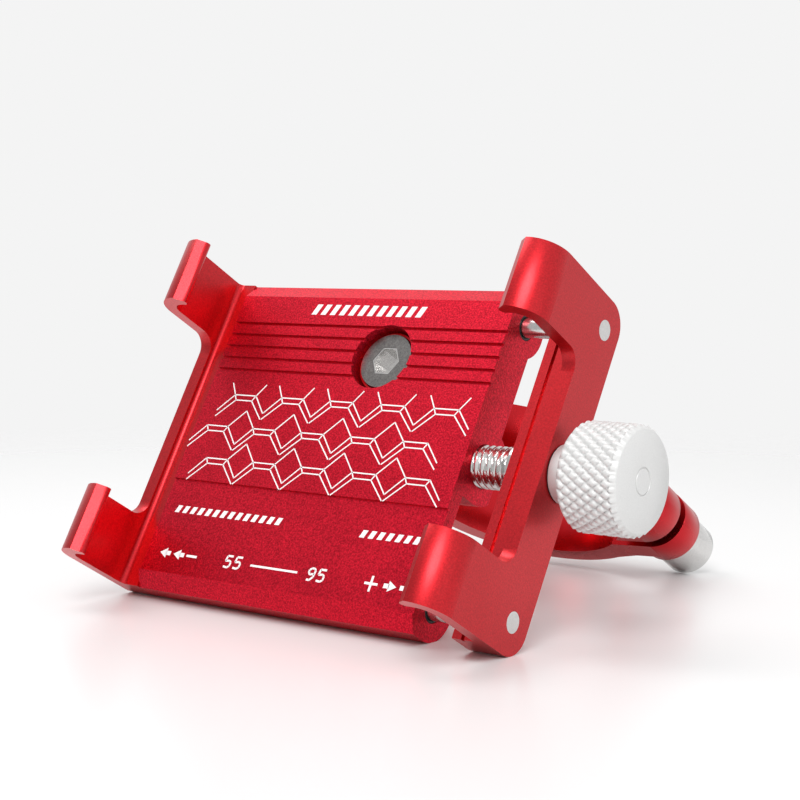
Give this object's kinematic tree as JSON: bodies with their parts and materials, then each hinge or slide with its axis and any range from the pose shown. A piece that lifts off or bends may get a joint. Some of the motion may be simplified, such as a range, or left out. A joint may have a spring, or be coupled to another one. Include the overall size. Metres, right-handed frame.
{
  "type": "phone handlebar mount",
  "caption": "Red metal phone holder with clawed deck, sliding jaw drawn by a knurled thumb screw, and a swivelling hinged ring clamp for a handlebar",
  "frame": {"origin": "middle of the handlebar bore", "axes": "+Z out of the deck's face towards the phone, +X the way the jaw opens, +Y up the deck; the bar lies along Y, turned 3 degrees by the swivel"},
  "size_m": [0.0793, 0.05, 0.0796],
  "materials": {
    "red_deck": "bead blasted, red anodised",
    "red_bar": "satin, red anodised",
    "red_clamp": "satin, red anodised",
    "silver_knob": "knurled, clear anodised",
    "bright_steel": "bright",
    "dull_steel": "dull",
    "black_nylon": "matt"
  },
  "bodies": {
    "clamp": {"clamp_body": "red_clamp", "swivel_screw": "dull_steel", "hinge_pin": "dull_steel", "lug_insert": "dull_steel"},
    "clamp_arm": {"clamp_arm": "red_clamp"},
    "clamp_bolt": {"clamp_bolt": "bright_steel", "bolt_washer": "bright_steel"},
    "deck": {"base_plate": "red_deck", "fixed_claw_bar": "red_bar", "claw_bar_screws": "dull_steel", "upper_rod_bush": "black_nylon", "lower_rod_bush": "black_nylon", "cup_washer": "red_clamp", "friction_washer": "black_nylon"},
    "jaw": {"sliding_jaw": "red_bar", "upper_guide_rod": "bright_steel", "lower_guide_rod": "bright_steel", "thrust_washer": "black_nylon"},
    "thumb_screw": {"lead_screw": "bright_steel", "thumb_knob": "silver_knob", "retaining_ring": "bright_steel"}
  },
  "joints": [
    {"name": "deck_swivel", "type": "hinge", "parent": "clamp", "child": "deck", "pos_m": [0, 0, 0.036], "axis": [0, 0, 1], "continuous": true},
    {"name": "jaw_slide", "type": "slide", "parent": "deck", "child": "jaw", "axis": [1, 0, 0], "range_m": [-0.0058, 0.0315]},
    {"name": "thumb_screw_turn", "type": "hinge", "parent": "jaw", "child": "thumb_screw", "pos_m": [0.0298, -0.01335, 0.0382], "axis": [1, 0, 0], "range_deg": [-2100, 11350]},
    {"name": "arm_hinge", "type": "hinge", "parent": "clamp", "child": "clamp_arm", "pos_m": [-0.01317, -0.00069, 0.01517], "axis": [0.0523, -0.9986, 0], "range_deg": [-0.7, 0.7]},
    {"name": "clamp_bolt_turn", "type": "hinge", "parent": "clamp_arm", "child": "clamp_bolt", "pos_m": [0.01768, 0.00093, -0.02], "axis": [0, 0, 1], "range_deg": [-200, 200]}
  ],
  "couplings": [
    {"joint": "thumb_screw_turn", "follows": "jaw_slide", "rad_per_m": 6283.2}
  ]
}
